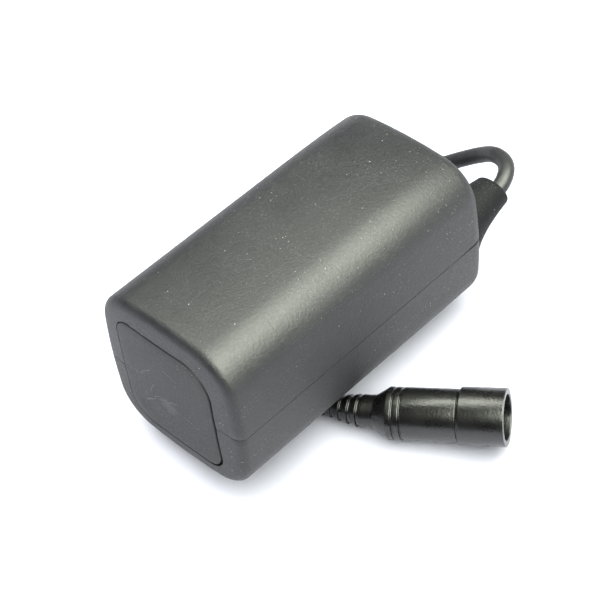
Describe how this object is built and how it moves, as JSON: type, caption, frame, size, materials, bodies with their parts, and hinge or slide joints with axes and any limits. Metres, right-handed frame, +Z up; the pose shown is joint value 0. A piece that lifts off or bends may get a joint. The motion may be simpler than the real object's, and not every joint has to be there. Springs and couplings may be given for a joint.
{
  "type": "rechargeable battery pack",
  "caption": "Soft-touch box-shaped rechargeable battery pack with rounded edges, an inset end panel, a cable boss, and a short lead that ends in a round power socket.",
  "frame": {"origin": "on the floor under the middle of the case, with the lead and plug left out", "axes": "+Z up, +Y along the case from its front end to its back end, +X across the case to the side where the plug lies. The case is rolled 7 degrees and pitched 4 degrees, because it lies on its lead."},
  "size_m": [0.0855, 0.1045, 0.0494],
  "materials": {
    "case_soft_touch": "soft-touch moulded plastic",
    "panel_plastic": "satin moulded plastic",
    "lead_rubber": "smooth cable sheath",
    "plug_rubber": "satin overmoulding",
    "carrier_plastic": "matte moulded plastic",
    "nickel": "nickel plating",
    "can_steel": "nickel-plated steel can",
    "wrap_film": "shrink film",
    "white_card": "insulating card",
    "board_laminate": "solder mask",
    "chip_epoxy": "moulded epoxy",
    "foam": "closed-cell foam",
    "tape_film": "adhesive tape",
    "red_insulation": "wire insulation",
    "black_insulation": "wire insulation",
    "white_insulation": "wire insulation"
  },
  "bodies": {
    "root": {"upper_shell": "case_soft_touch", "lower_shell": "case_soft_touch", "end_panel": "panel_plastic", "cable_boss": "case_soft_touch", "lead": "lead_rubber", "plug_body": "plug_rubber", "plug_sleeve": "plug_rubber", "socket_carrier": "carrier_plastic", "socket_barrel_contact": "nickel", "socket_centre_pin": "nickel", "cell_1_can": "can_steel", "cell_1_wrap": "wrap_film", "cell_1_insulator_ring": "white_card", "cell_1_button": "nickel", "cell_2_can": "can_steel", "cell_2_wrap": "wrap_film", "cell_2_insulator_ring": "white_card", "cell_2_button": "nickel", "cell_3_can": "can_steel", "cell_3_wrap": "wrap_film", "cell_3_insulator_ring": "white_card", "cell_3_button": "nickel", "cell_4_can": "can_steel", "cell_4_wrap": "wrap_film", "cell_4_insulator_ring": "white_card", "cell_4_button": "nickel", "strip_series": "nickel", "strip_positive": "nickel", "strip_negative": "nickel", "insulator_front": "white_card", "insulator_back": "white_card", "foam_pad": "foam", "cell_band_front": "tape_film", "cell_band_back": "tape_film", "protection_board": "board_laminate", "switch_transistor_1": "chip_epoxy", "switch_transistor_2": "chip_epoxy", "protection_controller": "chip_epoxy", "lead_positive": "red_insulation", "lead_negative": "black_insulation", "lead_midpoint": "white_insulation"}
  },
  "joints": []
}
